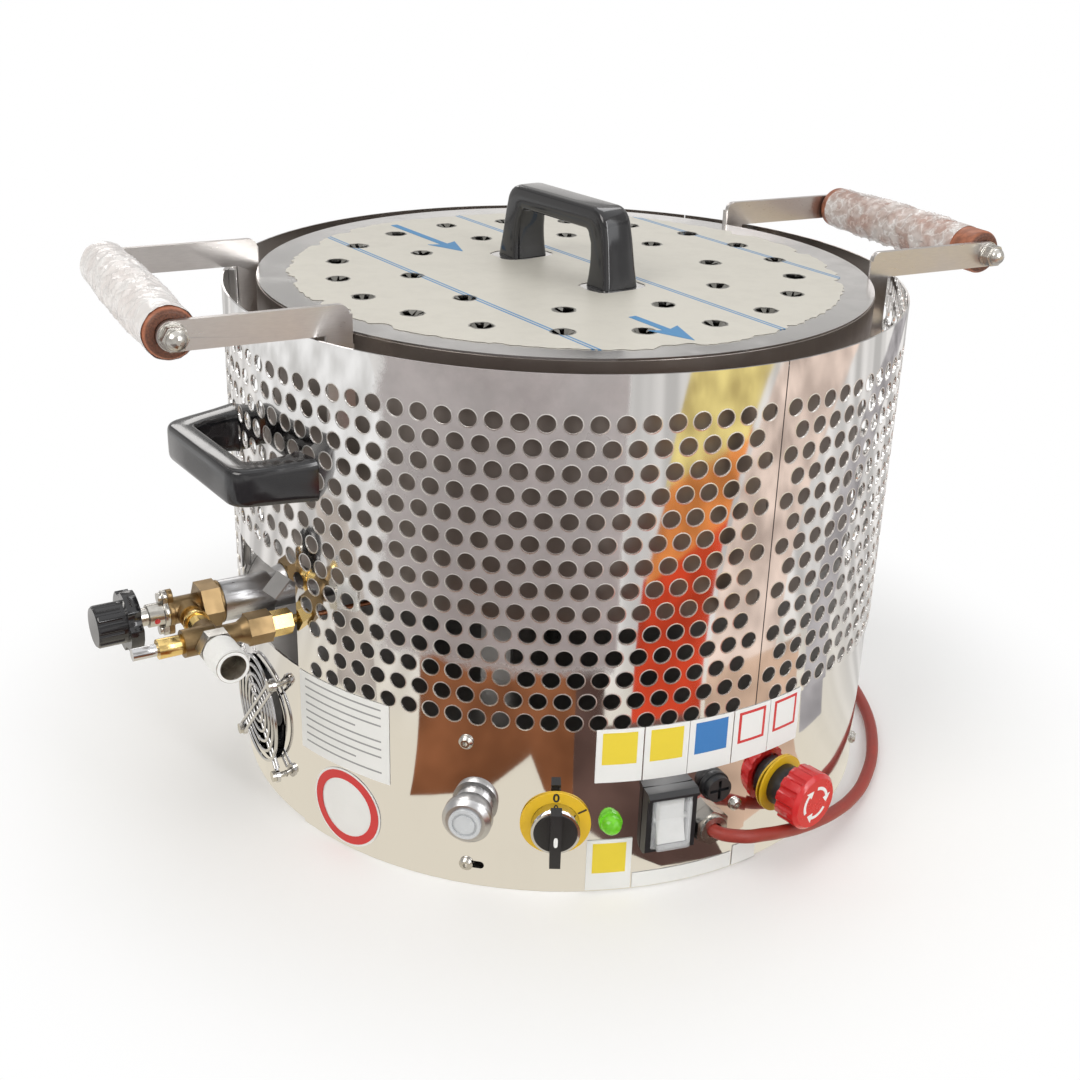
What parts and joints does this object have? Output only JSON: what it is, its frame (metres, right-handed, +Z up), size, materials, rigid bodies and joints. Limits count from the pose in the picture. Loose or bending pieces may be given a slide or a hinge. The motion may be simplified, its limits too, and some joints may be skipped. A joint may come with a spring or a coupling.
{
  "type": "chestnut roaster",
  "caption": "Round gas roaster: a lidded, motor-stirred pot in a perforated steel shield over a ring burner, on a drum base with switches, a fan and a power cord.",
  "frame": {"origin": "centre of the floor plate's underside, on the floor", "axes": "+Z up, -Y the front with the switches, +X the viewer's right"},
  "size_m": [0.6346, 0.5847, 0.4033],
  "materials": {
    "mirror_steel": "polished",
    "satin_steel": "satin",
    "zinc_steel": "satin",
    "film_steel": "satin",
    "cast_iron": "matt",
    "dark_brass": "satin",
    "bright_brass": "polished",
    "aluminium": "satin",
    "chrome": "polished",
    "copper": "satin",
    "bakelite": "gloss",
    "black_plastic": "matt",
    "white_plastic": "gloss",
    "yellow_plastic": "satin",
    "red_plastic": "gloss",
    "green_lens": "gloss",
    "clear_boot": "gloss",
    "ceramic": "gloss",
    "grey_paint": "satin",
    "wood": "satin",
    "cord_rubber": "satin"
  },
  "bodies": {
    "base": {"base_plate": "satin_steel", "base_band": "mirror_steel", "front_sheet": "mirror_steel", "right_sheet": "mirror_steel", "rear_sheet": "mirror_steel", "seam_straps": "satin_steel", "divider_plate": "satin_steel", "frame_posts": "satin_steel", "pot_support": "satin_steel", "burner_ring": "cast_iron", "venturi_tube": "aluminium", "jet_nut": "dark_brass", "gas_tap_body": "dark_brass", "tap_collar": "zinc_steel", "valve_body": "dark_brass", "valve_fittings": "bright_brass", "thermo_lead": "copper", "gas_nipple": "zinc_steel", "spark_electrode": "ceramic", "piezo_collar": "aluminium", "selector_plate": "yellow_plastic", "selector_bezel": "chrome", "pilot_lamp": "green_lens", "rocker_frame": "black_plastic", "rocker_boot": "clear_boot", "fuse_holder": "black_plastic", "cable_gland": "zinc_steel", "case_screws": "zinc_steel", "estop_plate": "yellow_plastic", "estop_bezel": "black_plastic", "control_box": "grey_paint", "fan_frame": "black_plastic", "fan_guard": "chrome", "fan_screws": "zinc_steel", "gearbox": "aluminium", "motor": "grey_paint", "side_handles": "bakelite", "power_cord": "cord_rubber", "cord_coil": "cord_rubber", "cord_plug": "black_plastic"},
    "shaft": {"drive_shaft": "satin_steel"},
    "fan": {"fan_rotor": "black_plastic"},
    "selector": {"selector_knob": "black_plastic"},
    "igniter": {"piezo_button": "aluminium"},
    "rocker": {"rocker": "white_plastic"},
    "stop_stem": {"estop_stem": "black_plastic"},
    "stop_head": {"estop_head": "red_plastic"},
    "tap": {"tap_stem": "zinc_steel", "gas_knob": "bakelite"},
    "valve": {"valve_pin": "chrome"},
    "shutter": {"air_shutter": "aluminium"},
    "pot": {"pot_shell": "satin_steel", "handle_arms": "zinc_steel", "handle_rods": "zinc_steel"},
    "left_grip": {"grip_left": "wood"},
    "right_grip": {"grip_right": "wood"},
    "stirrer": {"stirrer": "satin_steel"},
    "lid": {"lid_plate": "film_steel", "lid_handle": "bakelite"}
  },
  "joints": [
    {"name": "pot_lift", "type": "slide", "parent": "base", "child": "pot", "axis": [0, 0, 1], "range_m": [0, 0.2]},
    {"name": "lid_lift", "type": "slide", "parent": "pot", "child": "lid", "axis": [0, 0, 1], "range_m": [0, 0.15]},
    {"name": "stirrer_spin", "type": "hinge", "parent": "pot", "child": "stirrer", "pos_m": [0, 0, 0.2], "axis": [0, 0, 1], "continuous": true},
    {"name": "shaft_spin", "type": "hinge", "parent": "base", "child": "shaft", "pos_m": [0, 0, 0.1], "axis": [0, 0, 1], "continuous": true},
    {"name": "fan_spin", "type": "hinge", "parent": "base", "child": "fan", "pos_m": [-0.18619, -0.1075, 0.061], "axis": [-0.866, -0.5, 0], "continuous": true},
    {"name": "selector_turn", "type": "hinge", "parent": "base", "child": "selector", "pos_m": [0.0062, -0.24492, 0.0537], "axis": [-0.0253, 0.9997, 0], "range_deg": [0, 60]},
    {"name": "piezo_push", "type": "slide", "parent": "base", "child": "igniter", "axis": [0.2011, 0.9796, 0], "range_m": [0, 0.005], "stiffness_N_per_m": 800, "springref_m": -0.002},
    {"name": "rocker_tilt", "type": "hinge", "parent": "base", "child": "rocker", "pos_m": [0.07789, -0.22495, 0.054], "axis": [0.9449, 0.3272, 0], "range_deg": [0, 20]},
    {"name": "stop_push", "type": "slide", "parent": "base", "child": "stop_stem", "axis": [-0.6639, 0.7478, 0], "range_m": [0, 0.004]},
    {"name": "stop_twist", "type": "hinge", "parent": "stop_stem", "child": "stop_head", "pos_m": [0.1693, -0.19069, 0.051], "axis": [-0.6639, 0.7478, 0], "range_deg": [0, 45], "stiffness_Nm_per_rad": 0.05, "springref_deg": -2.86},
    {"name": "gas_turn", "type": "hinge", "parent": "base", "child": "tap", "pos_m": [-0.26289, -0.16428, 0.1535], "axis": [-0.848, -0.5299, 0], "range_deg": [0, 180]},
    {"name": "valve_push", "type": "slide", "parent": "base", "child": "valve", "axis": [0.848, 0.5299, 0], "range_m": [0, 0.005], "stiffness_N_per_m": 800, "springref_m": -0.002},
    {"name": "shutter_slide", "type": "slide", "parent": "base", "child": "shutter", "axis": [0.848, 0.5299, 0], "range_m": [0, 0.008]},
    {"name": "grip_left_spin", "type": "hinge", "parent": "pot", "child": "left_grip", "pos_m": [-0.26223, -0.13943, 0.3592], "axis": [0.4695, -0.8829, 0], "continuous": true},
    {"name": "grip_right_spin", "type": "hinge", "parent": "pot", "child": "right_grip", "pos_m": [0.26223, 0.13943, 0.3592], "axis": [0.4695, -0.8829, 0], "continuous": true}
  ],
  "couplings": [
    {"joint": "shaft_spin", "follows": "stirrer_spin", "ratio": 1}
  ]
}
